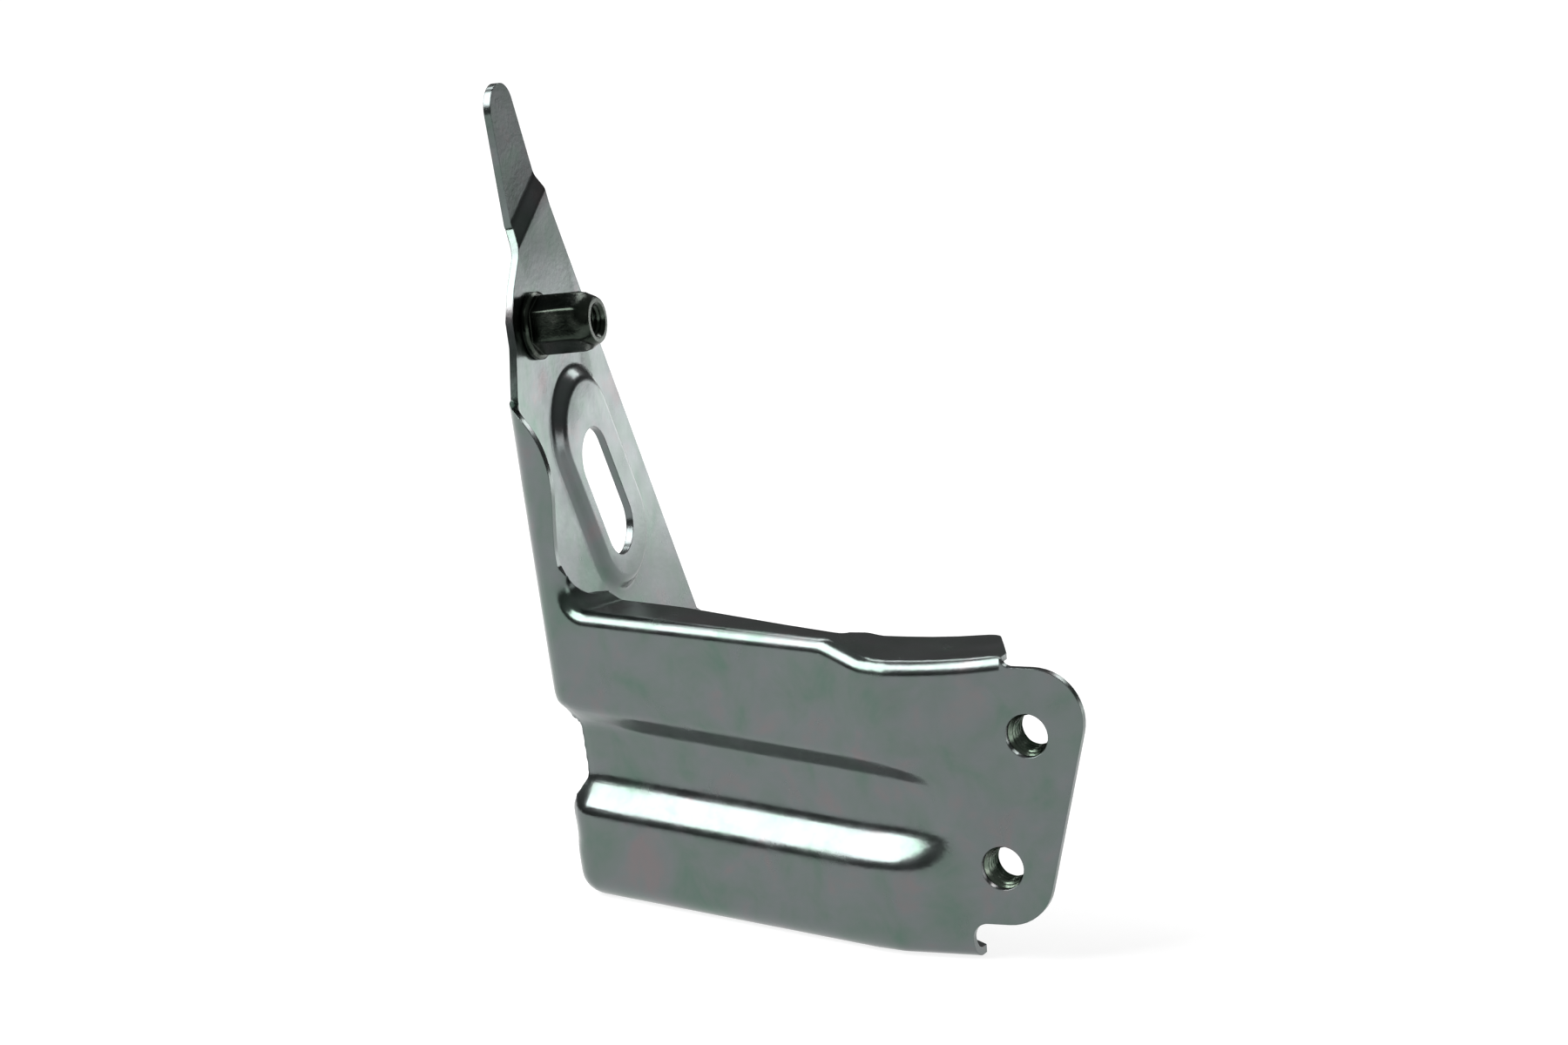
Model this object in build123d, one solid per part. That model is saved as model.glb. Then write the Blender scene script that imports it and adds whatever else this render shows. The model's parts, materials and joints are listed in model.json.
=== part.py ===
from build123d import *
import os
from math import atan, cos, degrees, radians, sin, tan

# A pressed steel fender bracket: a front wall with a bolting tab, and an arm that rises from the
# wall's left end. Lengths are in millimetres. While it is built, the origin is the sharp corner
# where the arm's outer face meets the wall's front face, at the level of the top flange:
# +X runs along the tab, +Y away from its bolting face, +Z up.

# Sheet
sheet = 1.5

# Front wall and tab, seen from above
wall_length = 84.4
wall_turn = radians(20.2)
corner_radius = 7.0
turn_radius = 9.0
turn_kink = radians(6.0)
turn_lead = 4.4

# Front wall, seen from the front
wall_height = 55.8
top_bend_radius = 2.8
bottom_bend_radius = 5.0
bottom_flange_depth = 12.0
arm_foot_depth = 9.0
foot_corner_radius = 6.0

# Rear edge of the top flange: along the wall and behind its face, then along the tab and behind it
wall_flange_edge = [(9.3, 12.0), (28.0, 11.6), (60.0, 7.4), (70.5, 7.9)]
tab_flange_edge = [(-6.9, 18.8), (18.1, 19.7)]
flange_edge_radii = [3.0, 60.0, 30.0, 3.0, 3.0, 4.5]

# Swage across the wall, round the corner and along the arm's foot
swage_top = 18.5
swage_bottom = 38.5
swage_depth = 4.4
swage_upper_slope = radians(46.5)
swage_lower_slope = radians(40.0)
swage_mouth_radius = 1.6
swage_floor_radius = 2.0

# Knuckle where the top flange turns up into the arm's front strip, as distance along the wall
knuckle_offset = 7.75
knuckle_radius = 4.5
knuckle_height = 6.8
knuckle_crest_radius = 3.8
knuckle_lean = radians(55.0)

# Free edge of the lip beside the knuckle: distance behind the wall's face against height
lip_edge = [(1.7, 6.6), (3.3, 4.6), (6.1, 2.6), (9.5, 1.7)]
lip_clear = 3.5

# Step in the top flange beside the turn, and the flange's rise towards its end
step_crest = (74.0, 2.6)
step_run = 7.6
step_turn = radians(12.0)
step_crest_radius = 10.0
step_foot_radius = 8.0
flange_rise_radius = 150.0
flange_rise_angle = 30.0

# Tab outline, measured from the vertical turn and from the level of the top flange
tab_reach = 43.3
tab_top = 0.1
tab_bottom = 48.4
tab_edge_tilt = radians(13.9)
tab_upper_radius = 9.6
tab_lower_radius = 8.7
flange_end = 25.0
flange_notch_radius = 2.0
foot_end = 17.2
foot_end_slant = 6.5
notch_radius = 3.0

# Tab bolting: two weld nuts behind the sheet
hole_pitch = 25.9
hole_tilt = radians(13.4)
hole_centre_reach = 26.6
hole_centre_drop = 25.1
tab_hole_radius = 4.1
weld_nut_across_flats = 13.0
weld_nut_height = 6.7
weld_nut_bore_radius = 3.35
weld_nut_chamfer = 0.9

# Arm, in its own plane: distance back from the corner and height along the slope
arm_lean = radians(6.5)
arm_strip_height = 38.5
arm_rear_lean = radians(21.8)
arm_rear_shoulder = (38.0, 61.9)
arm_tip_rear = (34.6, 70.5)
arm_tip_centre = (24.1, 91.1)
arm_tip_radius = 5.2
arm_heel_radius = 12.0
arm_front_edge = [(5.7, 38.7), (9.0, 48.0), (9.3, 53.0), (12.4, 58.6), (16.8, 63.8), (19.2, 69.0)]

# Strip along the arm's front edge: free edge as width from the corner line against height
strip_foot = (6.6, 8.4)
strip_middle = (6.1, 16.5)
strip_top = (5.9, 26.0)
strip_bend = (1.6, 34.6)

# Joggle that sets the arm's tip back by one sheet
joggle_step = 1.5
joggle_run = 3.0
joggle_tilt = radians(27.4)
joggle_middle = (22.9, 69.6)
joggle_radius = 2.0

# Slot in the arm and the raised pad around it
slot_width = 12.3
slot_length = 27.5
slot_tilt = radians(22.5)
slot_centre = (34.2, 14.1)
pad_centre = (34.9, 16.5)
pad_width = 24.0
pad_length = 46.0
pad_height = 2.0
pad_slope = radians(45.0)
pad_foot_radius = 3.5
pad_crown_radius = 1.0

# Clinched nut on the arm
arm_nut_place = (18.7, 50.2)
arm_nut_across_flats = 10.0
arm_nut_flange_radius = 6.5
arm_nut_flange_height = 1.4
arm_nut_flange_bevel = 0.84
arm_nut_length = 13.2
arm_nut_face_radius = 4.5
arm_nut_taper = 1.6
arm_nut_bore_radius = 2.55
arm_nut_countersink = 0.45
arm_nut_pilot_radius = 4.2
arm_nut_clinch_radius = 5.2
arm_nut_clinch_height = 0.6
pilot_clearance = 0.05

# Working sizes that run past the sheet on every side
overrun = 20.0
rear_reach = 120.0
headroom = 130.0
tab_overrun = tab_reach + overrun
flange_zone = 9.0
lead_overlap = 1.0
step_reach = 60.0
edge_slack = 0.5

# Lines and places that follow from the sizes above
near = 0.01
hexagon_half_angle = radians(30)
tab_face = -wall_length * sin(wall_turn)
splice_height = (arm_strip_height + arm_front_edge[2][1]) / 2
turn_x = wall_length * cos(wall_turn)
arm_plane = Plane(origin=(0, 0, 0), x_dir=(0, 1, 0), z_dir=(cos(arm_lean), 0, sin(arm_lean)))
front_plane = Plane(origin=(0, 0, 0), x_dir=(1, 0, 0), z_dir=(0, -1, 0))
wall_plane = Plane(
    origin=(0, 0, 0),
    x_dir=(cos(wall_turn), -sin(wall_turn), 0),
    z_dir=(-sin(wall_turn), -cos(wall_turn), 0),
)
lead_x = turn_x - turn_lead
lead_turn = wall_turn - turn_kink
hole_centre_x = turn_x + hole_centre_reach
datum = Pos(-hole_centre_x, -tab_face, hole_centre_drop)


def arm_x(z, inset):
    """X of the arm's skin at height z, moved into the form by inset."""
    return -z * tan(arm_lean) + inset / cos(arm_lean)


def wall_y(x, inset):
    """Y of the front wall's skin at x, moved into the form by inset."""
    return (inset - x * sin(wall_turn)) / cos(wall_turn)


def lead_y(x, inset):
    """Y of the short face that leads the wall into the turn."""
    return wall_y(lead_x, 0) + (inset - (x - lead_x) * sin(lead_turn)) / cos(lead_turn)


def wall_point(along, behind):
    """Plan point at a distance along the front wall and behind its front skin."""
    x = along * cos(wall_turn) + behind * sin(wall_turn)
    y = -along * sin(wall_turn) + behind * cos(wall_turn)
    return (x, y)


def flat_layer(z_high, z_low, depth, inset):
    """Level stretch behind the arm and the wall, with both pressed in by depth."""
    offset = depth + inset
    x_left = arm_x(z_high, offset) - overrun
    x_right = turn_x + tab_overrun + inset
    y_rear = rear_reach + inset
    corners = [
        (x_left, y_rear),
        (x_left, wall_y(x_left, offset)),
        (x_right, wall_y(x_right, offset)),
        (x_right, y_rear),
    ]
    outline = make_face(Polyline(*corners, close=True))
    layer = Pos(0, 0, z_low) * extrude(outline, amount=z_high - z_low)
    size = 4 * rear_reach
    inside = Box(size, size, size, align=(Align.CENTER, Align.CENTER, Align.MIN))
    layer = layer & (arm_plane * Pos(0, 0, offset) * inside)
    z_middle = (z_high + z_low) / 2
    x_arm = arm_x(z_middle, offset)
    corner = layer.edges().sort_by_distance((x_arm, wall_y(x_arm, offset), z_middle))[0]
    return layer.fillet(corner_radius - offset, [corner])


def vertices_at(outline, point):
    """The outline's corner at a point."""
    return outline.vertices().sort_by_distance((point[0], point[1], 0))[0]


def swage_levels(inset):
    """Heights and depths of the form, from its top to its foot."""
    upper_shift = inset * tan(swage_upper_slope / 2)
    lower_shift = inset * tan(swage_lower_slope / 2)
    upper_rise = swage_depth / tan(swage_upper_slope)
    lower_rise = swage_depth / tan(swage_lower_slope)
    return [
        (splice_height + inset, 0),
        (-swage_top + upper_shift, 0),
        (-swage_top - upper_rise + upper_shift, swage_depth),
        (-swage_bottom + lower_rise - lower_shift, swage_depth),
        (-swage_bottom - lower_shift, 0),
        (-wall_height + inset, 0),
    ]


def stacked_form(inset):
    """Solid behind the sheet's outer skin, moved in by inset, with sharp edges at the swage."""
    levels = swage_levels(inset)
    flats = [
        flat_layer(z_high, z_low, depth, inset)
        for (z_high, depth), (z_low, _) in zip(levels[::2], levels[1::2])
    ]
    form = flats[0]
    for above, below in zip(flats, flats[1:]):
        foot = above.faces().sort_by(Axis.Z)[0]
        head = below.faces().sort_by(Axis.Z)[-1]
        form = form + loft([foot, head], ruled=True) + below
    return form


def grown(outline, inset):
    """An outline with its edges moved out by inset and its corners kept sharp."""
    return offset(outline, amount=inset, kind=Kind.INTERSECTION) if inset > 0 else outline


def above_wall_flange(inset):
    """Space above the wall's top flange and to the right of the arm's strip."""
    top = splice_height + overrun
    right = wall_length + tab_overrun
    lean = (top - knuckle_height) * tan(knuckle_lean)
    slope = step_crest[1] / (step_crest[0] - knuckle_offset)
    knuckle = (knuckle_offset, 0)
    knuckle_crest = (knuckle_offset, knuckle_height)
    corners = [
        (knuckle_offset + lean, top),
        knuckle_crest,
        knuckle,
        (right, (right - knuckle_offset) * slope),
        (right, top),
    ]
    outline = grown(make_face(Polyline(*corners, close=True)), inset)
    outline = fillet(vertices_at(outline, knuckle), knuckle_radius + inset)
    outline = fillet(vertices_at(outline, knuckle_crest), knuckle_crest_radius - inset)
    return extrude(wall_plane * outline, amount=rear_reach + overrun, both=True)


def above_step(inset):
    """Space above the step beside the turn and above the lower flange that follows it."""
    top = splice_height + overrun
    crest = (0, step_crest[1])
    foot = (step_run, 0)
    corners = [
        (-step_run * (top / step_crest[1] - 1), top),
        foot,
        (step_run + 2 * tab_overrun, 0),
        (step_run + 2 * tab_overrun, top),
    ]
    outline = grown(make_face(Polyline(*corners, close=True)), inset)
    outline = fillet(vertices_at(outline, foot), step_foot_radius + inset)
    across = Plane(
        origin=wall_point(step_crest[0], 0) + (0,),
        x_dir=(cos(step_turn), sin(step_turn), 0),
        z_dir=(sin(step_turn), -cos(step_turn), 0),
    )
    return extrude(across * outline, amount=step_reach, both=True)


def above_rise(inset, radius):
    """Space above the tab's flange, which rises in an arc towards its end."""
    top = splice_height + overrun
    left = wall_length / 2
    start = (turn_x, 0)
    rise = CenterArc((start[0], radius), radius, -90, flange_rise_angle)
    end = rise @ 1
    level = Line((left, 0), start)
    rest = Polyline(end, (end.X, top), (left, top), (left, 0))
    outline = grown(make_face(level + rise + rest), inset)
    return extrude(front_plane * outline, amount=rear_reach + overrun, both=True)


def above_flange(inset, rise_radius):
    """Space above the whole top flange, with the step's crest rounded."""
    space = above_wall_flange(inset) + (above_step(inset) & above_rise(inset, rise_radius))
    crest_place = wall_point(step_crest[0], 0) + (step_crest[1] - inset,)
    crest = space.edges().sort_by_distance(crest_place)[0]
    return space.fillet(step_crest_radius - inset, [crest])


def edge_points(edge):
    """Start, middle and end of an edge."""
    return [edge.position_at(share) for share in (0, 0.5, 1)]


def level_edges(form, z, right):
    """Front edges at one height, left of a limit."""
    return [
        edge
        for edge in form.edges()
        if all(abs(point.Z - z) < near for point in edge_points(edge))
        and edge.center().Y < rear_reach - near
        and edge.center().X < right - near
    ]


def round_if(form, edges, radius):
    """Round edges where the radius is left after the inset."""
    return form.fillet(radius, edges) if radius > 0 else form


def wall_top_edges(form, inset):
    """The smooth chain along the strip, the knuckle and the wall's top flange."""
    low = -inset - edge_slack
    left = knuckle_offset * cos(wall_turn) - inset - edge_slack
    right = turn_x + tab_overrun
    chosen = []
    for edge in form.edges():
        points = [wall_plane.to_local_coords(point) for point in edge_points(edge)]
        on_wall = all(abs(point.Z + inset) < edge_slack for point in points)
        between = all(point.Y > low for point in points) and points[1].Y < splice_height - edge_slack
        if on_wall and between and left < edge.center().X < right - edge_slack:
            chosen.append(edge)
    return chosen


def wall_form(inset):
    """Solid behind the arm and the front wall, with the wall run on past the turn."""
    levels = swage_levels(inset)
    right = turn_x + tab_overrun + inset
    # Past the turn the wall's own run rises in a tighter arc, clear of the tab's flange
    form = stacked_form(inset) - above_flange(inset, flange_rise_radius / 2)
    for z in (levels[2][0], levels[3][0]):
        form = form.fillet(swage_floor_radius + inset, level_edges(form, z, right))
    for z in (levels[1][0], levels[4][0]):
        form = round_if(form, level_edges(form, z, right), swage_mouth_radius - inset)
    form = form.fillet(top_bend_radius - inset, wall_top_edges(form, inset))
    return form.fillet(bottom_bend_radius - inset, level_edges(form, levels[5][0], right))


def tab_top_edges(form, inset):
    """The chain along the tab's top flange."""
    low = -inset - edge_slack
    right = turn_x + tab_overrun
    return [
        edge
        for edge in form.edges()
        if all(point.Z > low for point in edge_points(edge))
        and all(point.Y < lead_y(point.X, inset) + edge_slack for point in edge_points(edge))
        and lead_x - overrun + edge_slack < edge.center().X < right
        and edge.center().Y < rear_reach - edge_slack
    ]


def tab_form(inset):
    """Solid behind the tab and the short face that leads into it."""
    bottom = -wall_height + inset
    left = lead_x - overrun
    right = turn_x + tab_overrun + inset
    y_tab = tab_face + inset
    x_turn = lead_x + (lead_y(lead_x, inset) - y_tab) / tan(lead_turn)
    corners = [
        (left, rear_reach + inset),
        (left, lead_y(left, inset)),
        (x_turn, y_tab),
        (right, y_tab),
        (right, rear_reach + inset),
    ]
    outline = make_face(Polyline(*corners, close=True))
    outline = fillet(vertices_at(outline, corners[2]), turn_radius - inset)
    form = Pos(0, 0, bottom) * extrude(outline, amount=splice_height + inset - bottom)
    form = form - above_flange(inset, flange_rise_radius)
    form = form.fillet(top_bend_radius - inset, tab_top_edges(form, inset))
    form = form.fillet(bottom_bend_radius - inset, level_edges(form, bottom, right))
    size = 4 * rear_reach
    beside = Box(size, size, size, align=(Align.MAX, Align.CENTER, Align.CENTER))
    return form + Pos(lead_x - lead_overlap, 0, 0) * beside + tab_end_block(inset)


def tab_end_block(inset):
    """The flat end of the tab, which stands above the end of the flange."""
    x_low = turn_x + flange_end + inset
    x_high = turn_x + tab_overrun + inset
    y_low = tab_face + inset
    size = (x_high - x_low, rear_reach + inset - y_low, 2 * overrun)
    return Pos(x_low, y_low, -overrun) * Box(*size, align=(Align.MIN, Align.MIN, Align.MIN))


def tilted(place, tilt):
    """A place in the arm's plane, turned so that its length leans back as it falls."""
    return Pos(*place) * Rot(0, 0, degrees(tilt))


def pad_pocket(inset):
    """The tool that raises the pad round the slot."""
    flare = 1 / tan(pad_slope)
    mouth = inset * tan(pad_slope / 2)
    depths = (inset - sheet, inset + pad_height)
    faces = []
    for depth in depths:
        grow = 2 * (mouth + (inset - depth) * flare)
        outline = SlotOverall(pad_length + grow, pad_width + grow, rotation=90)
        faces.append(arm_plane * Pos(0, 0, depth) * tilted(pad_centre, slot_tilt) * outline)
    return loft(faces, ruled=True)


def pad_edges(form, depth):
    """The closed rim of the pad at one depth below the arm's skin."""
    chosen = []
    for edge in form.edges():
        points = [arm_plane.to_local_coords(point) for point in edge_points(edge)]
        in_plane = all(abs(point.Z - depth) < near for point in points)
        inside = all(
            (Vector(point.X, point.Y) - Vector(*pad_centre)).length < pad_length for point in points
        )
        if in_plane and inside and -overrun < points[1].Y < splice_height - near:
            chosen.append(edge)
    return chosen


def pressed_form(inset):
    """Solid behind the sheet's outer skin, moved in by inset, with all its bends."""
    form = wall_form(inset) & tab_form(inset)
    form = form - pad_pocket(inset)
    form = form.fillet(pad_foot_radius - inset, pad_edges(form, inset))
    return form.fillet(pad_crown_radius + inset, pad_edges(form, inset + pad_height))


def flange_trim():
    """Everything behind the rear edge of the top flange, right of the arm."""
    clear = knuckle_offset - lip_clear
    corner, depth = wall_flange_edge[0]
    wall_side = [wall_point(*place) for place in wall_flange_edge]
    tab_side = [(turn_x + along, tab_face + behind) for along, behind in tab_flange_edge]
    start = wall_point(clear, depth - (corner - clear))
    end = [
        (turn_x + flange_end, tab_face + sheet + top_bend_radius),
        (turn_x + flange_end, tab_face + sheet),
        (turn_x + tab_overrun, tab_face + sheet),
        (turn_x + tab_overrun, rear_reach + overrun),
        wall_point(clear, rear_reach + overrun),
    ]
    outline = make_face(Polyline(start, *wall_side, *tab_side, *end, close=True))
    for place, radius in zip(wall_side + tab_side, flange_edge_radii):
        outline = fillet(vertices_at(outline, place), radius)
    return Pos(0, 0, -flange_zone) * extrude(outline, amount=splice_height + overrun)


def lip_trim():
    """Everything above the lip that joins the strip's foot to the top flange."""
    far = rear_reach + overrun
    top = splice_height + overrun
    rest = Polyline(lip_edge[-1], (far, lip_edge[-1][1]), (far, top), (lip_edge[0][0], top), lip_edge[0])
    outline = make_face(Spline(*lip_edge) + rest)
    side_plane = Plane(
        origin=wall_point(knuckle_offset - lip_clear, 0) + (0,),
        x_dir=(sin(wall_turn), cos(wall_turn), 0),
        z_dir=(cos(wall_turn), -sin(wall_turn), 0),
    )
    return extrude(side_plane * outline, amount=wall_length + tab_overrun)


def foot_trim():
    """The opening inside the bottom flange, open past the flange's slanted end."""
    x_arm = arm_x(-wall_height, 0) + arm_foot_depth
    front = bottom_flange_depth
    x_turn = (front - (tab_face + front) * cos(wall_turn)) / sin(wall_turn)
    corners = [
        (x_arm, rear_reach + overrun),
        (x_arm, wall_y(x_arm, front)),
        (x_turn, tab_face + front),
        (turn_x + foot_end - foot_end_slant, tab_face + front),
        (turn_x + foot_end, tab_face + sheet + bottom_bend_radius),
        (turn_x + tab_overrun, tab_face + sheet + bottom_bend_radius),
        (turn_x + tab_overrun, rear_reach + overrun),
    ]
    outline = make_face(Polyline(*corners, close=True))
    outline = fillet(vertices_at(outline, corners[1]), foot_corner_radius)
    outline = fillet(vertices_at(outline, corners[2]), turn_radius)
    return Pos(0, 0, -wall_height - overrun) * extrude(outline, amount=overrun + flange_zone)


def tab_outline():
    """What is left of the front view: the wall to the foot's end, then the tab."""

    def edge_at(drop):
        return turn_x + tab_reach - (drop + tab_top) * tan(tab_edge_tilt)

    left = -overrun - splice_height
    top = headroom
    foot_x = turn_x + foot_end
    corners = [
        (left, -wall_height - overrun),
        (foot_x, -wall_height - overrun),
        (foot_x, -tab_bottom),
        (edge_at(tab_bottom), -tab_bottom),
        (edge_at(-tab_top), tab_top),
        (turn_x + flange_end, tab_top),
        (turn_x + flange_end, top),
        (left, top),
    ]
    outline = make_face(Polyline(*corners, close=True))
    outline = fillet(vertices_at(outline, corners[2]), notch_radius)
    outline = fillet(vertices_at(outline, corners[3]), tab_lower_radius)
    outline = fillet(vertices_at(outline, corners[4]), tab_upper_radius)
    outline = fillet(vertices_at(outline, corners[5]), flange_notch_radius)
    return extrude(front_plane * outline, amount=rear_reach + overrun, both=True)


def strip_trim():
    """What is cut from the front strip beyond its free edge."""
    top = splice_height + overrun
    end = (arm_x(arm_strip_height, 0), arm_strip_height)
    low = (knuckle_offset, lip_edge[0][1])
    free_edge = Spline(strip_foot, strip_middle, strip_top, strip_bend, end)
    rest = Polyline(
        end,
        (end[0] - overrun, end[1]),
        (end[0] - overrun, top),
        (turn_x, top),
        (turn_x, lip_edge[0][1]),
        low,
        strip_foot,
    )
    outline = make_face(free_edge + rest)
    depth = wall_length * sin(wall_turn) + overrun
    return Pos(0, arm_front_edge[0][0] - depth / 2, 0) * extrude(
        front_plane * outline, amount=depth / 2, both=True
    )


def arm_outline():
    """The arm's side view, in its own plane, with all that lies in front of it kept."""
    foot = -(wall_height + overrun)
    front = -(wall_length * sin(wall_turn) + overrun)

    def rear_at(s):
        return arm_rear_shoulder[0] + (arm_rear_shoulder[1] - s) * tan(arm_rear_lean)

    heel = (rear_at(-wall_height / cos(arm_lean)), -wall_height / cos(arm_lean))
    tip_angle = degrees(atan((arm_tip_rear[0] - arm_tip_centre[0]) / (arm_tip_centre[1] - arm_tip_rear[1])))
    tip = CenterArc(arm_tip_centre, arm_tip_radius, 180, -180 + tip_angle / 2)
    line = Polyline(
        tip @ 1,
        arm_tip_rear,
        arm_rear_shoulder,
        heel,
        (heel[0], foot),
        (front, foot),
        (front, arm_front_edge[0][1]),
        *arm_front_edge,
        tip @ 0,
    )
    outline = make_face(tip + line)
    outline = fillet(vertices_at(outline, heel), arm_heel_radius)
    return extrude(arm_plane * outline, amount=rear_reach + overrun, both=True)


def joggled_plate():
    """The upper arm: a flat plate that steps out by the joggle below its tip."""
    turn = atan(joggle_step / joggle_run)
    shift = sheet * tan(turn / 2)
    half = joggle_run / 2
    far = rear_reach
    section = [
        (-far, 0),
        (-half, 0),
        (half, -joggle_step),
        (far, -joggle_step),
        (far, sheet - joggle_step),
        (half + shift, sheet - joggle_step),
        (-half + shift, sheet),
        (-far, sheet),
    ]
    outline = make_face(Polyline(*section, close=True))
    for corner, radius in (
        (section[1], joggle_radius + sheet),
        (section[2], joggle_radius),
        (section[5], joggle_radius + sheet),
        (section[6], joggle_radius),
    ):
        outline = fillet(vertices_at(outline, corner), radius)
    across = Plane(
        origin=(joggle_middle[0], joggle_middle[1], 0),
        x_dir=(-sin(joggle_tilt), cos(joggle_tilt), 0),
        z_dir=(cos(joggle_tilt), sin(joggle_tilt), 0),
    )
    plate = extrude(across * outline, amount=far, both=True)
    plate = arm_plane.location * plate
    keep = Box(2 * far, 2 * far, far, align=(Align.CENTER, Align.CENTER, Align.MIN))
    return plate & Pos(0, 0, splice_height) * keep


def arm_hole(place, outline):
    """A hole through the arm's sheet."""
    return extrude(arm_plane * place * outline, amount=overrun / 2, both=True)


def tab_hole_places():
    """Upper and lower bolt hole, as X and Z."""
    x_half = hole_pitch / 2 * sin(hole_tilt)
    z_half = hole_pitch / 2 * cos(hole_tilt)
    return [
        (hole_centre_x + x_half, -hole_centre_drop + z_half),
        (hole_centre_x - x_half, -hole_centre_drop - z_half),
    ]


def bracket_stamping():
    """The pressed sheet with its outline, slot and holes."""
    inner = pressed_form(sheet)
    shell = pressed_form(0) - inner
    shell = shell - flange_trim() - lip_trim() - foot_trim() - strip_trim()
    blank = (shell + joggled_plate()) & tab_outline() & arm_outline()
    slot = SlotOverall(slot_length, slot_width, rotation=90)
    blank = blank - arm_hole(tilted(slot_centre, slot_tilt), slot)
    blank = blank - arm_hole(Pos(*arm_nut_place), Circle(arm_nut_pilot_radius + pilot_clearance))
    for x, z in tab_hole_places():
        hole = extrude(front_plane * Pos(x, z) * Circle(tab_hole_radius), amount=2 * overrun, both=True)
        blank = blank - hole
    return blank


def hexagon(across_flats):
    """A hexagon by its width across flats."""
    return RegularPolygon(across_flats / 2, side_count=6, major_radius=False)


def arm_nut():
    """Long clinched nut: flange on the inner face, pilot through the sheet, clinched rim behind."""
    start = sheet
    end = start + arm_nut_length
    flange_end_at = start + arm_nut_flange_height
    skirt = Pos(0, 0, start) * extrude(Circle(arm_nut_flange_radius), amount=arm_nut_flange_height)
    skirt = skirt.chamfer(arm_nut_flange_bevel, None, skirt.edges().sort_by(Axis.Z)[-1:])
    body = Pos(0, 0, flange_end_at) * extrude(hexagon(arm_nut_across_flats), amount=end - flange_end_at)
    fall = arm_nut_across_flats / 2 / cos(hexagon_half_angle) - arm_nut_face_radius
    rise = arm_nut_taper * fall
    cone = [
        (0, 0),
        (arm_nut_face_radius + fall, 0),
        (arm_nut_face_radius + fall, end - rise),
        (arm_nut_face_radius, end),
        (0, end),
    ]
    turned = revolve(Plane.XZ * make_face(Polyline(*cone, close=True)), Axis.Z)
    body = body & turned
    pilot = extrude(Circle(arm_nut_pilot_radius), amount=sheet)
    rim = Pos(0, 0, -arm_nut_clinch_height) * extrude(
        Circle(arm_nut_clinch_radius), amount=arm_nut_clinch_height
    )
    nut = body + skirt + pilot + rim
    bore = Pos(0, 0, -overrun) * extrude(Circle(arm_nut_bore_radius), amount=2 * overrun)
    nut = nut - bore
    mouths = nut.edges().filter_by(GeomType.CIRCLE)
    mouths = [edge for edge in mouths if abs(edge.radius - arm_nut_bore_radius) < near]
    nut = nut.chamfer(arm_nut_countersink, None, mouths)
    return arm_plane * Pos(*arm_nut_place) * nut


def weld_nut(x, z):
    """Hexagon weld nut, seated on the rear face of the tab."""
    blank = extrude(hexagon(weld_nut_across_flats), amount=weld_nut_height)
    corner = weld_nut_across_flats / 2 / cos(hexagon_half_angle)
    cone = [
        (0, 0),
        (corner, 0),
        (corner, weld_nut_height - weld_nut_chamfer * tan(hexagon_half_angle)),
        (corner - weld_nut_chamfer, weld_nut_height),
        (0, weld_nut_height),
    ]
    turned = revolve(Plane.XZ * make_face(Polyline(*cone, close=True)), Axis.Z)
    bore = extrude(Circle(weld_nut_bore_radius), amount=weld_nut_height)
    seat = Plane(origin=(x, tab_face + sheet, z), x_dir=(1, 0, 0), z_dir=(0, 1, 0))
    return seat * Rot(0, 0, degrees(hole_tilt)) * ((blank & turned) - bore)


def write(name, solid):
    """Write one piece in the frame whose origin lies between the tab's holes, on its face."""
    export_step(datum * solid, os.path.join("parts", name + ".step"))


os.makedirs("parts", exist_ok=True)
upper, lower = tab_hole_places()
write("bracket_stamping", bracket_stamping())
write("arm_nut", arm_nut())
write("tab_nut_upper", weld_nut(*upper))
write("tab_nut_lower", weld_nut(*lower))
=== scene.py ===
"""Looks, light and camera for the fender bracket."""

import json
import math

import bmesh
import bpy
import numpy as np
from mathutils import Matrix, Vector
from mathutils.bvhtree import BVHTree


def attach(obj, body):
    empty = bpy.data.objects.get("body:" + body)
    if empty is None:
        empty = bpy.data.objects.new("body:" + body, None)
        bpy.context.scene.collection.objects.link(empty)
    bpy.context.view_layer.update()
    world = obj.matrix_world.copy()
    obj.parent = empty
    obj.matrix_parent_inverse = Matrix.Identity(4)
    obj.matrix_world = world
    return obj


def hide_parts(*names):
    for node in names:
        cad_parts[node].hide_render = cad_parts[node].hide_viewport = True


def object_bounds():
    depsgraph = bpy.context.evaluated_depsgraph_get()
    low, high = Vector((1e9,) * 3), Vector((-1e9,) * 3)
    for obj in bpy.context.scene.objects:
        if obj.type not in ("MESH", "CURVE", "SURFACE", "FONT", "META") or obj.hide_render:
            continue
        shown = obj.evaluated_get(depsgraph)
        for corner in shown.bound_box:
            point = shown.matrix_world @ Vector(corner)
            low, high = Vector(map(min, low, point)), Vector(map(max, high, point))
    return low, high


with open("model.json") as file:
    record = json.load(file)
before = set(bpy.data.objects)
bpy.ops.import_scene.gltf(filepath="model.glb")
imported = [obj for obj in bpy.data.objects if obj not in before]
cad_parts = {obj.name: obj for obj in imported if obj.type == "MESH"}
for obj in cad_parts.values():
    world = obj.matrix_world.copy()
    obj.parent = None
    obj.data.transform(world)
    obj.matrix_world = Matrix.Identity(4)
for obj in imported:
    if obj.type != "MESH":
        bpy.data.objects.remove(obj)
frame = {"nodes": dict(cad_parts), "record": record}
cad_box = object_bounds()
nodes = frame["nodes"]

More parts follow.
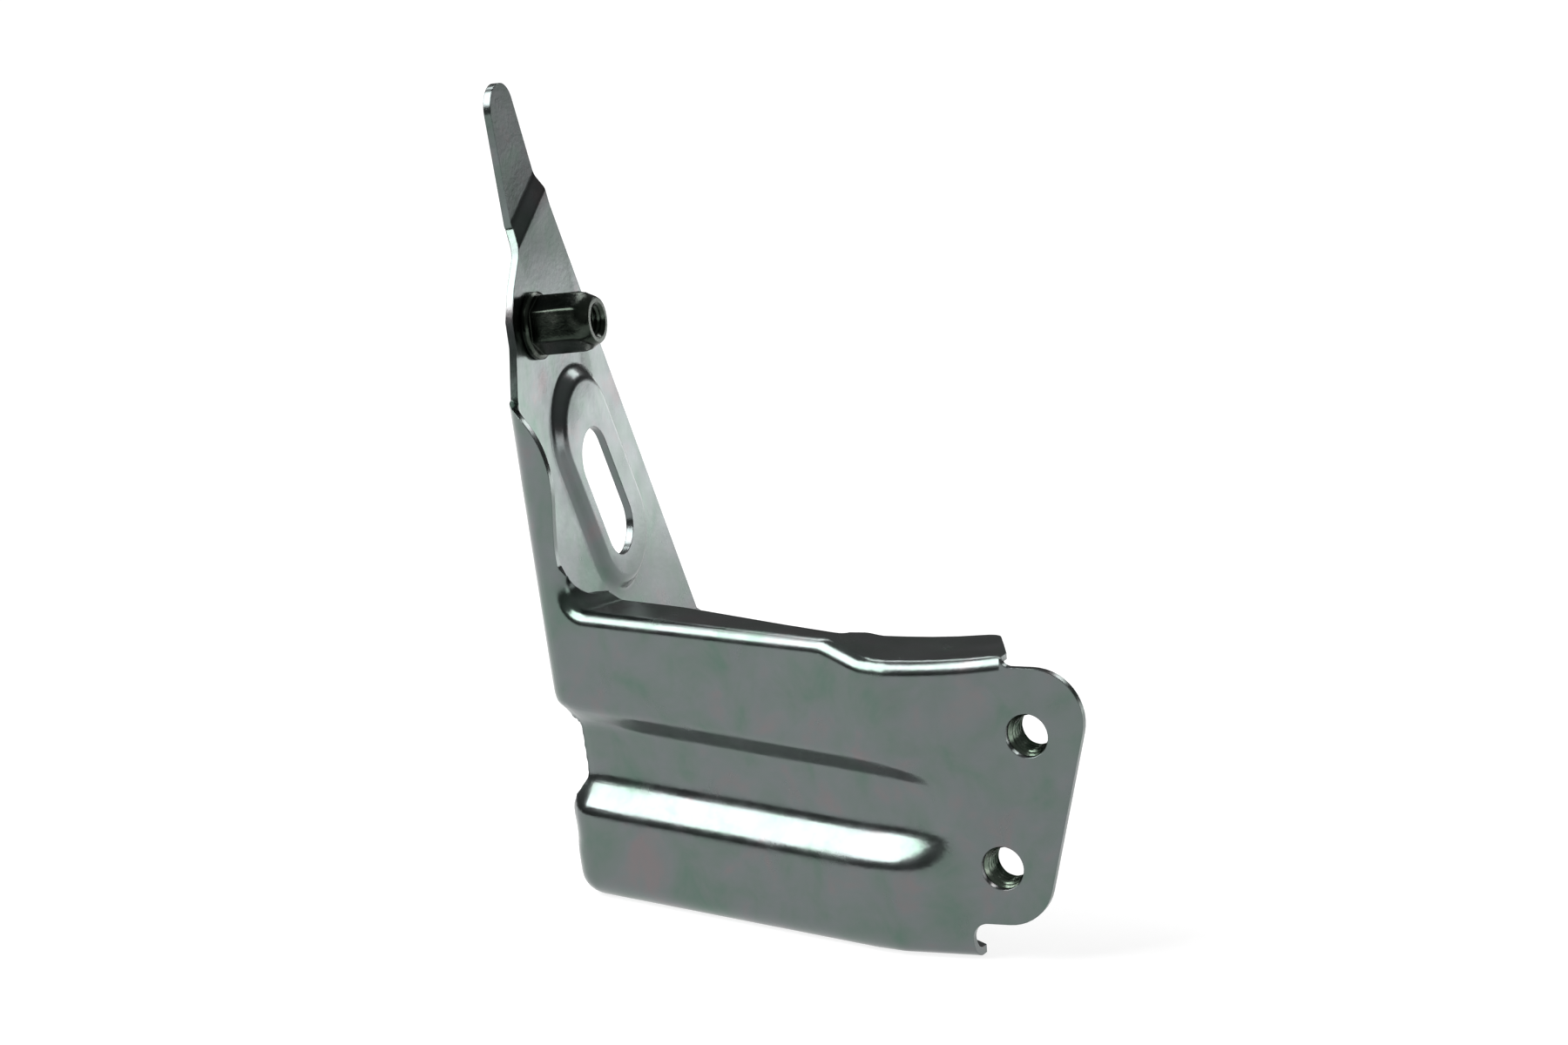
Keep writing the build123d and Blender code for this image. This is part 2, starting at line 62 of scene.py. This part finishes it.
# Camera: the photograph's view, in metres, with the lens and sensor in millimetres
VIEW = Vector((0.371, -0.899, 0.233)).normalized()
RIGHT = Vector((0.928, 0.368, -0.059))
TARGET = Vector((-0.06151, 0.04794, 0.0384))
DISTANCE = 1.5
NEAREST = 0.05
LENS = 183
SENSOR = 36

# Floor, which glows in the camera's and the metal's view of it, and the room's grey, level and overhead
FLOOR_RADIUS = 2.2
FLOOR_RINGS = 24
FLOOR_SIDES = 96
FLOOR_COLOUR = 0.26
FLOOR_MOTTLE = 0.02
FLOOR_GLOW = 0.84
WORLD_LOW = 0.06
WORLD_HIGH = 0.22

# Softboxes round the target: name, direction to them, distance, width, height, radiance
SOFTBOXES = (
    ("key", (-0.62, -0.33, 0.71), 1.3, 1.15, 1.0, 8.0),
    ("strip", (-0.53, 0.45, 0.72), 1.3, 0.9, 0.12, 8.0),
    ("rim", (0.20, 0.85, 0.48), 1.3, 0.35, 0.30, 5.0),
)

# Panels on the floor: name, point of the part that they face, direction to them, distance, width,
# height, radiance; and the gap under them
PANELS = (
    ("panel_back", (-0.100, 0.085), (0.414, 0.899), 0.36, 0.30, 0.064, 1.9),
    ("panel_right", (-0.100, 0.060), (0.909, -0.393), 0.75, 0.40, 0.200, 2.0),
)
PANEL_GAP = 0.003

# Base colours: place in the mottling and colour
ZINC_TINTS = (
    (0.30, (0.098, 0.146, 0.122)),
    (0.44, (0.124, 0.152, 0.141)),
    (0.56, (0.137, 0.155, 0.155)),
    (0.70, (0.163, 0.150, 0.152)),
)
OXIDE_TINTS = (
    (0.35, (0.016, 0.022, 0.017)),
    (0.60, (0.032, 0.040, 0.032)),
    (0.75, (0.080, 0.088, 0.076)),
)

# Meshes, in metres: points nearer than JOIN are one point, and no cut leaves an edge under SHORT_EDGE
JOIN = 0.000002
SHORT_EDGE = 0.000005
SMOOTH_ANGLE = math.radians(35)

# Swage, in metres: the stretch of the front wall whose pressed edges are rounded, where the rounding
# fades out, how far it spreads and how closely the mesh is cut for it
SOFT_X = (-0.1000, -0.0100)
SOFT_Z = (-0.0190, 0.0125)
SOFT_FADE = 0.004
SOFT_REACH = 0.0013
CUT_X = 0.0012
CUT_Z = 0.0008

# Corner beside the swage: both skins move alike left of CORNER_X, and not at all behind CORNER_Y
CORNER_X = (-0.0925, -0.0895)
CORNER_Y = (0.040, 0.060)

# Rounded right end of the swage: centre in x and z, radius, half the width of its rim, depth, and the
# length over which it grows
NOSE_PLACE = (-0.0205, -0.0047)
NOSE_RADIUS = 0.0078
NOSE_EDGE = 0.0008
NOSE_DEPTH = 0.0008
NOSE_RUN = 0.009

# Depth grids over the wall, read along +Y from RAY_START; the sheet is nowhere thicker than THICKEST
GRID_STEP = 0.00025
GRID_X = (SOFT_X[0] - 0.001, SOFT_X[1] + 0.005)
GRID_Z = (SOFT_Z[0] - 0.010, SOFT_Z[1] + 0.010)
RAY_START = -0.1
RAY_LIFT = 0.0002
THICKEST = 0.0028

# Nut profiles, from the foot up: height, round radius, and width across the flats where there are any
ARM_NUT_PROFILE = (
    (-0.0021, 0.0050, None), (-0.0019, 0.0052, None), (-0.0015, 0.0052, None),
    (-0.0015, 0.0042, None), (0.0, 0.0042, None),
    (0.0, 0.0062, None), (0.0003, 0.0065, None), (0.0010, 0.0065, None), (0.0014, 0.0060, None),
    (0.0014, 0.0058, 0.0098), (0.0019, 0.0058, 0.0100), (0.0100, 0.0058, 0.0100),
    (0.0112, 0.00545, 0.0100), (0.0122, 0.0049, 0.0099), (0.0128, 0.0046, None), (0.0132, 0.0043, None),
)
WELD_NUT_PROFILE = (
    (0.0, 0.0071, 0.0128), (0.0002, 0.0075, 0.0130), (0.0056, 0.0075, 0.0130),
    (0.0062, 0.0070, 0.0130), (0.0067, 0.0062, 0.0129),
)

# Kinds of nut: profile, radius of the bore's mouth, turn of the hexagon, thread radius, thread pitch,
# and how many times brighter than plain black oxide its skin is
ARM_NUT = (ARM_NUT_PROFILE, 0.0034, math.radians(22), 0.0030, 0.0010, 1.3)
# The weld nuts' fivefold brightness is partly their lighter, zinc-like steel and partly a painted highlight
# standing in for the glints on their thread.
WELD_NUT = (WELD_NUT_PROFILE, 0.0043, 0.0, 0.0040, 0.00125, 5.0)

# Nuts: node, axis towards the open end, kind
NUTS = (
    ("arm_nut", (0.9936, 0, 0.1132), ARM_NUT),
    ("tab_nut_upper", (0, 1, 0), WELD_NUT),
    ("tab_nut_lower", (0, 1, 0), WELD_NUT),
)
TURN_STEPS = 96

# Thread: rows to a pitch, the groove's depth and the crest's width as shares of the pitch
THREAD_ROWS = 10
THREAD_DEPTH = 0.6
THREAD_CREST = 0.92


def new_material(name):
    material = bpy.data.materials.new(name)
    material.use_nodes = True
    tree = material.node_tree
    tree.nodes.clear()
    output = tree.nodes.new("ShaderNodeOutputMaterial")
    shader = tree.nodes.new("ShaderNodeBsdfPrincipled")
    tree.links.new(shader.outputs["BSDF"], output.inputs["Surface"])
    return material, tree, shader


def noise(tree, scale, detail, roughness, distortion, spot):
    node = tree.nodes.new("ShaderNodeTexNoise")
    node.inputs["Scale"].default_value = scale
    node.inputs["Detail"].default_value = detail
    node.inputs["Roughness"].default_value = roughness
    node.inputs["Distortion"].default_value = distortion
    tree.links.new(spot, node.inputs["Vector"])
    return node


def ramp(tree, source, stops):
    node = tree.nodes.new("ShaderNodeValToRGB")
    band = node.color_ramp
    while len(band.elements) < len(stops):
        band.elements.new(0.5)
    for element, (place, colour) in zip(band.elements, stops):
        element.position = place
        element.color = (*colour, 1)
    tree.links.new(source, node.inputs["Fac"])
    return node


def mapped(tree, low, high, source, start=0.0, end=1.0):
    node = tree.nodes.new("ShaderNodeMapRange")
    node.inputs["From Min"].default_value = start
    node.inputs["From Max"].default_value = end
    node.inputs["To Min"].default_value = low
    node.inputs["To Max"].default_value = high
    tree.links.new(source, node.inputs["Value"])
    return node.outputs["Result"]


def bump(tree, height, strength, distance, below):
    node = tree.nodes.new("ShaderNodeBump")
    node.inputs["Strength"].default_value = strength
    node.inputs["Distance"].default_value = distance
    tree.links.new(height, node.inputs["Height"])
    tree.links.new(below, node.inputs["Normal"])
    return node.outputs["Normal"]


def bevel(tree, radius):
    node = tree.nodes.new("ShaderNodeBevel")
    node.samples = 4
    node.inputs["Radius"].default_value = radius
    return node.outputs["Normal"]


def plated_sheet():
    """Bright zinc over cold-rolled sheet: mottled colour, broad waves and a fine orange peel."""
    material, tree, shader = new_material("zinc_plated_sheet_look")
    spot = tree.nodes.new("ShaderNodeTexCoord").outputs["Object"]
    blotches = noise(tree, 90, 4, 0.6, 0.4, spot)
    tint = ramp(tree, blotches.outputs["Fac"], ZINC_TINTS)
    tree.links.new(tint.outputs["Color"], shader.inputs["Base Color"])
    shader.inputs["Metallic"].default_value = 1.0
    haze = noise(tree, 140, 3, 0.55, 0.0, spot)
    roughness = mapped(tree, 0.17, 0.28, haze.outputs["Fac"], 0.3, 0.7)
    tree.links.new(roughness, shader.inputs["Roughness"])
    peel = noise(tree, 900, 3, 0.6, 0.0, spot)
    waves = noise(tree, 45, 2, 0.5, 0.0, spot)
    broad = bump(tree, waves.outputs["Fac"], 0.25, 0.0008, bevel(tree, 0.0003))
    fine = bump(tree, peel.outputs["Fac"], 0.10, 0.0002, broad)
    tree.links.new(fine, shader.inputs["Normal"])
    return material


def nut_steel(name, gain):
    """Black oxide steel with a light oil film, worn a little brighter in patches; its colour is scaled by
    gain, which for the weld nuts is partly a painted highlight.
    """
    material, tree, shader = new_material(name)
    spot = tree.nodes.new("ShaderNodeTexCoord").outputs["Object"]
    patches = noise(tree, 260, 4, 0.6, 0.3, spot)
    # Colours scaled by gain: for the weld nuts partly lighter steel, partly a painted highlight for their
    # thread's glints.
    tints = [(place, [gain * part for part in colour]) for place, colour in OXIDE_TINTS]
    tint = ramp(tree, patches.outputs["Fac"], tints)
    tree.links.new(tint.outputs["Color"], shader.inputs["Base Color"])
    shader.inputs["Metallic"].default_value = 1.0
    roughness = mapped(tree, 0.14, 0.28, patches.outputs["Fac"], 0.3, 0.7)
    tree.links.new(roughness, shader.inputs["Roughness"])
    grain = noise(tree, 1800, 3, 0.6, 0.0, spot)
    fine = bump(tree, grain.outputs["Fac"], 0.15, 0.0002, bevel(tree, 0.0004))
    tree.links.new(fine, shader.inputs["Normal"])
    return material


def smooth_group():
    """Joins the facets' doubled points and shades every edge under SMOOTH_ANGLE smooth."""
    group = bpy.data.node_groups.new("smooth_facets", "GeometryNodeTree")
    group.interface.new_socket("Geometry", in_out="INPUT", socket_type="NodeSocketGeometry")
    group.interface.new_socket("Geometry", in_out="OUTPUT", socket_type="NodeSocketGeometry")
    start = group.nodes.new("NodeGroupInput")
    end = group.nodes.new("NodeGroupOutput")
    merge = group.nodes.new("GeometryNodeMergeByDistance")
    merge.inputs["Distance"].default_value = JOIN
    angle = group.nodes.new("GeometryNodeInputMeshEdgeAngle")
    small = group.nodes.new("FunctionNodeCompare")
    small.operation = "LESS_THAN"
    small.inputs["B"].default_value = SMOOTH_ANGLE
    faces = group.nodes.new("GeometryNodeSetShadeSmooth")
    faces.domain = "FACE"
    edges = group.nodes.new("GeometryNodeSetShadeSmooth")
    edges.domain = "EDGE"
    group.links.new(start.outputs[0], merge.inputs["Geometry"])
    group.links.new(merge.outputs[0], faces.inputs["Geometry"])
    group.links.new(faces.outputs[0], edges.inputs["Geometry"])
    group.links.new(angle.outputs["Unsigned Angle"], small.inputs["A"])
    group.links.new(small.outputs["Result"], edges.inputs["Shade Smooth"])
    group.links.new(edges.outputs[0], end.inputs[0])
    return group


def placed(name, data):
    thing = bpy.data.objects.new(name, data)
    bpy.context.scene.collection.objects.link(thing)
    return thing


def dress(piece, material, group):
    piece.data.materials.append(material)
    modifier = piece.modifiers.new("smooth_facets", "NODES")
    modifier.node_group = group


def blurred(field, sigma):
    """Gaussian blur of a grid along both of its directions, with its borders held."""
    reach = int(3 * sigma) + 1
    offsets = np.arange(-reach, reach + 1)
    weights = np.exp(-0.5 * (offsets / sigma) ** 2)
    weights /= weights.sum()
    for axis in (0, 1):
        pad = [(0, 0), (0, 0)]
        pad[axis] = (reach, reach)
        wide = np.pad(field, pad, mode="reflect", reflect_type="odd")
        size = field.shape[axis]
        field = sum(w * np.take(wide, np.arange(size) + k, axis=axis) for k, w in enumerate(weights))
    return field


def sampled(field, x, z):
    """Value of a grid over the wall at places x, z, with straight blending between its points."""
    i = np.clip((x - GRID_X[0]) / GRID_STEP, 0, field.shape[0] - 1.001)
    j = np.clip((z - GRID_Z[0]) / GRID_STEP, 0, field.shape[1] - 1.001)
    a, b = i.astype(int), j.astype(int)
    u, v = i - a, j - b
    low = field[a, b] * (1 - u) + field[a + 1, b] * u
    high = field[a, b + 1] * (1 - u) + field[a + 1, b + 1] * u
    return low * (1 - v) + high * v


def eased(value, start, end):
    t = np.clip((value - start) / (end - start), 0, 1)
    return t * t * (3 - 2 * t)


def nose_depth(x, z):
    """Depth of the swage's rounded end below the tab, deepest at its right."""
    away = np.hypot(np.maximum(x - NOSE_PLACE[0], 0), z - NOSE_PLACE[1])
    inside = 1 - eased(away, NOSE_RADIUS - NOSE_EDGE, NOSE_RADIUS + NOSE_EDGE)
    return NOSE_DEPTH * inside * eased(x, NOSE_PLACE[0] - NOSE_RUN, NOSE_PLACE[0])


def in_soft_zone(element):
    """Whether a vertex, edge or face reaches into the stretch with the rounded edges."""
    verts = [element] if isinstance(element, bmesh.types.BMVert) else element.verts
    heights = [v.co.z for v in verts]
    return max(heights) > SOFT_Z[0] - SOFT_FADE and min(heights) < SOFT_Z[1] + SOFT_FADE


def depth_grids(shape, xs, zs):
    """Depth of the wall's front and back skin over the grid; rays that miss take their column's nearest."""
    tree = BVHTree.FromBMesh(shape)
    front = np.full((len(xs), len(zs)), np.nan)
    back = np.full((len(xs), len(zs)), np.nan)
    inward = Vector((0, 1, 0))
    for i, x in enumerate(xs):
        for j, z in enumerate(zs):
            first = tree.ray_cast(Vector((x, RAY_START, z)), inward)[0]
            second = first and tree.ray_cast(first + inward * RAY_LIFT, inward)[0]
            if second:
                front[i, j], back[i, j] = first.y, min(second.y, first.y + THICKEST)
        met = ~np.isnan(front[i])
        front[i] = np.interp(zs, zs[met], front[i][met])
        back[i] = np.interp(zs, zs[met], back[i][met])
    return front, back


def cut_finely(shape):
    """Cuts the stretch with the rounded edges along x and z, so that it can bend."""
    heights = np.arange(SOFT_Z[0] - SOFT_FADE, SOFT_Z[1] + SOFT_FADE, CUT_Z)
    widths = np.arange(SOFT_X[0], SOFT_X[1] + SOFT_FADE, CUT_X)
    planes = [((0, 0, z), (0, 0, 1)) for z in heights] + [((x, 0, 0), (1, 0, 0)) for x in widths]
    for place, normal in planes:
        near = [e for e in shape.verts[:] + shape.edges[:] + shape.faces[:] if in_soft_zone(e)]
        bmesh.ops.bisect_plane(shape, geom=near, plane_co=place, plane_no=normal)
    bmesh.ops.dissolve_degenerate(shape, dist=SHORT_EDGE, edges=shape.edges)


def softened(places, hard, soft):
    """Depths of the sheet's points once the hard depth grids of its skins become the soft ones."""
    x, y, z = places.T
    held = np.clip(x, SOFT_X[0], None)
    share = eased(z, SOFT_Z[0] - SOFT_FADE, SOFT_Z[0]) * (1 - eased(z, SOFT_Z[1], SOFT_Z[1] + SOFT_FADE))
    share *= 1 - eased(x, SOFT_X[1], SOFT_X[1] + SOFT_FADE)
    share *= 1 - eased(y, *CORNER_Y)
    hard_y = [sampled(skin, held, z) for skin in hard]
    soft_y = [sampled(skin, held, z) for skin in soft]
    in_front = np.abs(y - hard_y[0]) < np.abs(y - hard_y[1])
    on_wall = np.where(in_front, soft_y[0], soft_y[1])
    at_corner = y + soft_y[0] - hard_y[0]
    beside_corner = 1 - eased(x, *CORNER_X)
    wanted = on_wall + beside_corner * (at_corner - on_wall)
    return y + share * (wanted - y)


def softened_sheet(node, material, group):
    """The pressed sheet with the swage's edges rounded as a press leaves them."""
    shape = bmesh.new()
    shape.from_mesh(node.data)
    bmesh.ops.remove_doubles(shape, verts=shape.verts, dist=JOIN)
    xs = np.arange(*GRID_X, GRID_STEP)
    zs = np.arange(*GRID_Z, GRID_STEP)
    hard = depth_grids(shape, xs, zs)
    nose = nose_depth(*np.meshgrid(xs, zs, indexing="ij"))
    soft = [blurred(skin + nose, SOFT_REACH / GRID_STEP) for skin in hard]
    cut_finely(shape)
    places = np.array([v.co for v in shape.verts])
    for vertex, depth in zip(shape.verts, softened(places, hard, soft)):
        vertex.co.y = depth
    mesh = bpy.data.meshes.new("bracket_sheet")
    shape.to_mesh(mesh)
    shape.free()
    piece = placed("bracket_sheet", mesh)
    dress(piece, material, group)
    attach(piece, "root")
    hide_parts("bracket_stamping")


def hexagon_reach(step, radius, flats, turn):
    """Distance from the axis to the nut's skin: a circle, cut by six flats where there are any."""
    if flats is None:
        return radius
    angle = (2 * math.pi * step / TURN_STEPS + turn) % (math.pi / 3) - math.pi / 6
    return min(radius, flats / 2 / math.cos(angle))


def thread_rows(profile, mouth, radius, pitch):
    """Rings of (height, reach) down the bore: a thread's spiral groove, countersunk at both ends."""
    top, bottom = profile[-1][0], profile[0][0]
    count = int((top - bottom) / pitch * THREAD_ROWS)
    rows = []
    for i in range(count + 1):
        height = top + (bottom - top) * i / count
        cone = max(mouth - (top - height), mouth - (height - bottom), 0)
        row = []
        for k in range(TURN_STEPS):
            phase = (height / pitch - k / TURN_STEPS) % 1.0
            groove = radius - THREAD_DEPTH * pitch * min(2 * abs(phase - 0.5), THREAD_CREST)
            row.append((height, max(groove, cone)))
        rows.append(row)
    return rows


def nut_piece(node, axis, kind, group):
    """A nut with a chamfered hexagon and a cut thread, standing where its CAD node stands."""
    profile, mouth, turn, thread_radius, pitch, gain = kind
    axis = Vector(axis).normalized()
    across = axis.orthogonal().normalized()
    other = axis.cross(across)
    foot = max(v.co.dot(axis) for v in nodes[node].data.vertices) - profile[-1][0]
    mount = next(m for m in frame["record"]["mounts"] if m["name"] == node)
    centre = Vector(mount["pos_m"])
    centre -= axis * centre.dot(axis)
    rows = [
        [(height, hexagon_reach(k, radius, flats, turn)) for k in range(TURN_STEPS)]
        for height, radius, flats in profile
    ]
    rows += thread_rows(profile, mouth, thread_radius, pitch)
    points, faces = [], []
    for row in rows:
        for k, (height, reach) in enumerate(row):
            angle = 2 * math.pi * k / TURN_STEPS
            out = across * math.cos(angle) + other * math.sin(angle)
            points.append(centre + axis * (foot + height) + out * reach)
    for i in range(len(rows)):
        j = (i + 1) % len(rows)
        for k in range(TURN_STEPS):
            m = (k + 1) % TURN_STEPS
            quad = (i * TURN_STEPS + k, i * TURN_STEPS + m, j * TURN_STEPS + m, j * TURN_STEPS + k)
            faces.append(quad)
    mesh = bpy.data.meshes.new(node + "_threaded")
    mesh.from_pydata([tuple(p) for p in points], [], faces)
    piece = placed(node + "_threaded", mesh)
    dress(piece, nut_steel(node + "_look", gain), group)
    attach(piece, "root")
    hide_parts(node)


def floor_piece(bottom):
    """A pale round floor under the part."""
    mesh = bpy.data.meshes.new("floor")
    points, faces = [(0, 0, 0)], []
    for r in range(1, FLOOR_RINGS + 1):
        radius = FLOOR_RADIUS * r / FLOOR_RINGS
        for s in range(FLOOR_SIDES):
            turn = 2 * math.pi * s / FLOOR_SIDES
            points.append((radius * math.cos(turn), radius * math.sin(turn), 0))
    for s in range(FLOOR_SIDES):
        faces.append((0, 1 + s, 1 + (s + 1) % FLOOR_SIDES))
    for r in range(FLOOR_RINGS - 1):
        for s in range(FLOOR_SIDES):
            a = 1 + r * FLOOR_SIDES + s
            b = 1 + r * FLOOR_SIDES + (s + 1) % FLOOR_SIDES
            faces.append((a, a + FLOOR_SIDES, b + FLOOR_SIDES, b))
    mesh.from_pydata(points, [], faces)
    floor = placed("floor", mesh)
    floor.location = (TARGET.x, TARGET.y, bottom)
    material, tree, shader = new_material("floor_paper")
    spot = tree.nodes.new("ShaderNodeTexCoord").outputs["Object"]
    fibre = noise(tree, 300, 3, 0.6, 0.0, spot)
    tint = ramp(tree, fibre.outputs["Fac"], [
        (0.3, (FLOOR_COLOUR * (1 - FLOOR_MOTTLE),) * 3),
        (0.7, (FLOOR_COLOUR * (1 + FLOOR_MOTTLE),) * 3),
    ])
    tree.links.new(tint.outputs["Color"], shader.inputs["Base Color"])
    shader.inputs["Roughness"].default_value = 0.9
    shader.inputs["Specular IOR Level"].default_value = 0.1
    path = tree.nodes.new("ShaderNodeLightPath")
    seen = tree.nodes.new("ShaderNodeMath")
    seen.operation = "MAXIMUM"
    tree.links.new(path.outputs["Is Camera Ray"], seen.inputs[0])
    tree.links.new(path.outputs["Is Glossy Ray"], seen.inputs[1])
    shader.inputs["Emission Color"].default_value = (1, 1, 1, 1)
    glow = mapped(tree, 0.0, FLOOR_GLOW, seen.outputs[0])
    tree.links.new(glow, shader.inputs["Emission Strength"])
    mesh.materials.append(material)


def world_light():
    """A plain grey room, darker near the horizon."""
    world = bpy.data.worlds.new("room")
    bpy.context.scene.world = world
    world.use_nodes = True
    tree = world.node_tree
    tree.nodes.clear()
    output = tree.nodes.new("ShaderNodeOutputWorld")
    back = tree.nodes.new("ShaderNodeBackground")
    tree.links.new(back.outputs[0], output.inputs["Surface"])
    direction = tree.nodes.new("ShaderNodeTexCoord").outputs["Generated"]
    split = tree.nodes.new("ShaderNodeSeparateXYZ")
    tree.links.new(direction, split.inputs[0])
    tone = ramp(tree, split.outputs["Z"], [
        (0.0, (WORLD_LOW,) * 3),
        (0.7, (WORLD_HIGH,) * 3),
    ])
    tree.links.new(tone.outputs["Color"], back.inputs["Color"])


def area_lamp(name, direction, width, height, radiance):
    """A rectangular light, unseen by the camera, that shines against the given direction."""
    light = bpy.data.lights.new(name, "AREA")
    light.shape = "RECTANGLE"
    light.size = width
    light.size_y = height
    light.energy = radiance * math.pi * width * height
    lamp = placed(name, light)
    lamp.visible_camera = False
    lamp.rotation_euler = direction.to_track_quat("Z", "Y").to_euler()
    return lamp


def softbox(name, toward, distance, width, height, radiance):
    direction = Vector(toward).normalized()
    lamp = area_lamp(name, direction, width, height, radiance)
    lamp.location = TARGET + direction * distance


def standing_panel(name, start, toward, distance, width, height, radiance):
    direction = Vector((*toward, 0)).normalized()
    lamp = area_lamp(name, direction, width, height, radiance)
    middle = cad_box[0][2] + PANEL_GAP + height / 2
    lamp.location = Vector((*start, middle)) + direction * distance


def camera():
    data = bpy.data.cameras.new("camera")
    data.lens = LENS
    data.sensor_width = SENSOR
    data.clip_start = NEAREST
    eye = placed("camera", data)
    right = (RIGHT - VIEW * RIGHT.dot(VIEW)).normalized()
    up = VIEW.cross(right)
    turn = Matrix((right, up, VIEW)).transposed().to_4x4()
    eye.matrix_world = Matrix.Translation(TARGET + VIEW * DISTANCE) @ turn
    bpy.context.scene.camera = eye


smooth = smooth_group()
softened_sheet(nodes["bracket_stamping"], plated_sheet(), smooth)
for nut in NUTS:
    nut_piece(*nut, smooth)

floor_piece(cad_box[0][2])
world_light()
for box in SOFTBOXES:
    softbox(*box)
for panel in PANELS:
    standing_panel(*panel)
camera()
bpy.context.scene.view_settings.view_transform = "Standard"
